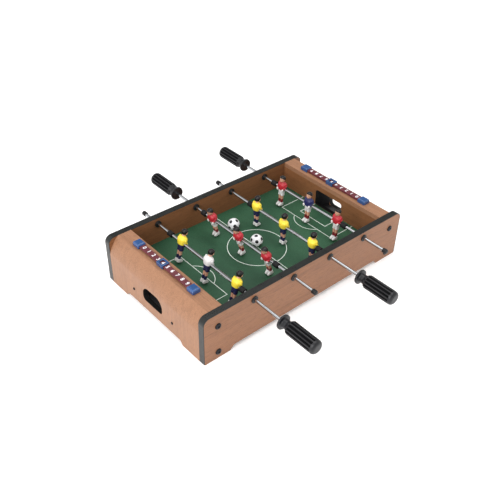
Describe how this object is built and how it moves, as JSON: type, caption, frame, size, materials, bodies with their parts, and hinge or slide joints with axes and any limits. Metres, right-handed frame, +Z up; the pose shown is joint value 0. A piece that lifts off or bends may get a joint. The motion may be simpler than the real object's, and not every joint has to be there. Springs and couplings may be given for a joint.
{
  "type": "foosball table",
  "caption": "Mini tabletop foosball table: open wooden cabinet, sliding and spinning player rods with grip handles, goals, balls and sliding score markers.",
  "frame": {"origin": "the point on the surface that the table stands on, under the middle of the cabinet", "axes": "+X along the cabinet's length, +Y along the rods from the front panel to the rear panel, +Z up"},
  "size_m": [0.5112, 0.5984, 0.1199],
  "materials": {
    "veneer_panel": "satin wood-grain veneer on fibreboard",
    "veneer_inner": "satin brown wood-grain veneer",
    "edge_band": "matte dark grey edging strip",
    "chute_plastic": "matte black moulding",
    "green_field": "printed green sheet with white lines on fibreboard",
    "raw_wood": "sawn softwood",
    "black_steel": "black oxide",
    "brass": "machined",
    "bushing_plastic": "moulded black nylon",
    "chromed_rod": "polished chrome",
    "handle_plastic": "moulded black plastic with fine texture",
    "black_rubber": "matte",
    "steel_pin": "ground",
    "yellow_team": "painted moulding, yellow shirt and navy shorts",
    "red_team": "painted moulding, red shirt and white shorts",
    "white_keeper": "painted moulding, white shirt and navy shorts",
    "blue_keeper": "painted moulding, blue shirt and white shorts",
    "score_rail": "maroon with white numbers",
    "score_marker": "blue",
    "ball_plastic": "white with black patches"
  },
  "bodies": {
    "cabinet": {"bushing_nuts": "bushing_plastic", "chute_screws": "black_steel", "corner_blocks": "raw_wood", "edge_band_front": "edge_band", "edge_band_rear": "edge_band", "end_top_left": "veneer_panel", "end_top_right": "veneer_panel", "end_wall_left": "veneer_panel", "end_wall_right": "veneer_panel", "goal_chute_left": "chute_plastic", "goal_chute_right": "chute_plastic", "goal_wall_left": "veneer_inner", "goal_wall_right": "veneer_inner", "panel_bolts_front": "black_steel", "panel_bolts_rear": "black_steel", "playing_field": "green_field", "rod_bushings_front": "bushing_plastic", "rod_bushings_rear": "bushing_plastic", "score_rail_left": "score_rail", "score_rail_right": "score_rail", "score_stops": "score_marker", "side_panel_front": "veneer_panel", "side_panel_rear": "veneer_panel", "threaded_inserts": "brass"},
    "bumper_set_1": {"bumpers_1": "black_rubber"},
    "rod_set_1": {"rod_1": "chromed_rod", "handle_1": "handle_plastic", "end_cap_1": "handle_plastic", "player_1_front": "yellow_team", "player_1_middle": "white_keeper", "player_1_rear": "yellow_team", "player_pins_1": "steel_pin"},
    "bumper_set_2": {"bumpers_2": "black_rubber"},
    "rod_set_2": {"rod_2": "chromed_rod", "handle_2": "handle_plastic", "end_cap_2": "handle_plastic", "player_2_front": "red_team", "player_2_middle": "red_team", "player_2_rear": "red_team", "player_pins_2": "steel_pin"},
    "bumper_set_3": {"bumpers_3": "black_rubber"},
    "rod_set_3": {"rod_3": "chromed_rod", "handle_3": "handle_plastic", "end_cap_3": "handle_plastic", "player_3_front": "yellow_team", "player_3_middle": "yellow_team", "player_3_rear": "yellow_team", "player_pins_3": "steel_pin"},
    "bumper_set_4": {"bumpers_4": "black_rubber"},
    "rod_set_4": {"rod_4": "chromed_rod", "handle_4": "handle_plastic", "end_cap_4": "handle_plastic", "player_4_front": "red_team", "player_4_middle": "blue_keeper", "player_4_rear": "red_team", "player_pins_4": "steel_pin"},
    "marker_left": {"score_marker_left": "score_marker"},
    "marker_right": {"score_marker_right": "score_marker"},
    "ball_body_1": {"ball_1": "ball_plastic"},
    "ball_body_2": {"ball_2": "ball_plastic"}
  },
  "joints": [
    {"name": "rod_1_slide", "type": "slide", "parent": "cabinet", "child": "bumper_set_1", "axis": [0, 1, 0], "range_m": [-0.0084, 0.0352]},
    {"name": "rod_1_spin", "type": "hinge", "parent": "bumper_set_1", "child": "rod_set_1", "pos_m": [-0.14175, 0, 0.0904], "axis": [0, 1, 0], "continuous": true},
    {"name": "rod_2_slide", "type": "slide", "parent": "cabinet", "child": "bumper_set_2", "axis": [0, 1, 0], "range_m": [-0.0232, 0.0202]},
    {"name": "rod_2_spin", "type": "hinge", "parent": "bumper_set_2", "child": "rod_set_2", "pos_m": [-0.04725, 0, 0.0904], "axis": [0, 1, 0], "continuous": true},
    {"name": "rod_3_slide", "type": "slide", "parent": "cabinet", "child": "bumper_set_3", "axis": [0, 1, 0], "range_m": [-0.0057, 0.0552]},
    {"name": "rod_3_spin", "type": "hinge", "parent": "bumper_set_3", "child": "rod_set_3", "pos_m": [0.04725, 0, 0.0904], "axis": [0, 1, 0], "continuous": true},
    {"name": "rod_4_slide", "type": "slide", "parent": "cabinet", "child": "bumper_set_4", "axis": [0, 1, 0], "range_m": [-0.0292, 0.0252]},
    {"name": "rod_4_spin", "type": "hinge", "parent": "bumper_set_4", "child": "rod_set_4", "pos_m": [0.14175, 0, 0.0904], "axis": [0, 1, 0], "continuous": true},
    {"name": "score_left_slide", "type": "slide", "parent": "cabinet", "child": "marker_left", "axis": [0, 1, 0], "range_m": [-0.0718, 0.0572]},
    {"name": "score_right_slide", "type": "slide", "parent": "cabinet", "child": "marker_right", "axis": [0, 1, 0], "range_m": [-0.0718, 0.0572]},
    {"name": "ball_1_roll", "type": "slide", "parent": "cabinet", "child": "ball_body_1", "axis": [0, 1, 0], "range_m": [-0.0225, 0.0475]},
    {"name": "ball_2_roll", "type": "slide", "parent": "cabinet", "child": "ball_body_2", "axis": [0, 1, 0], "range_m": [-0.1295, 0.0225]}
  ]
}
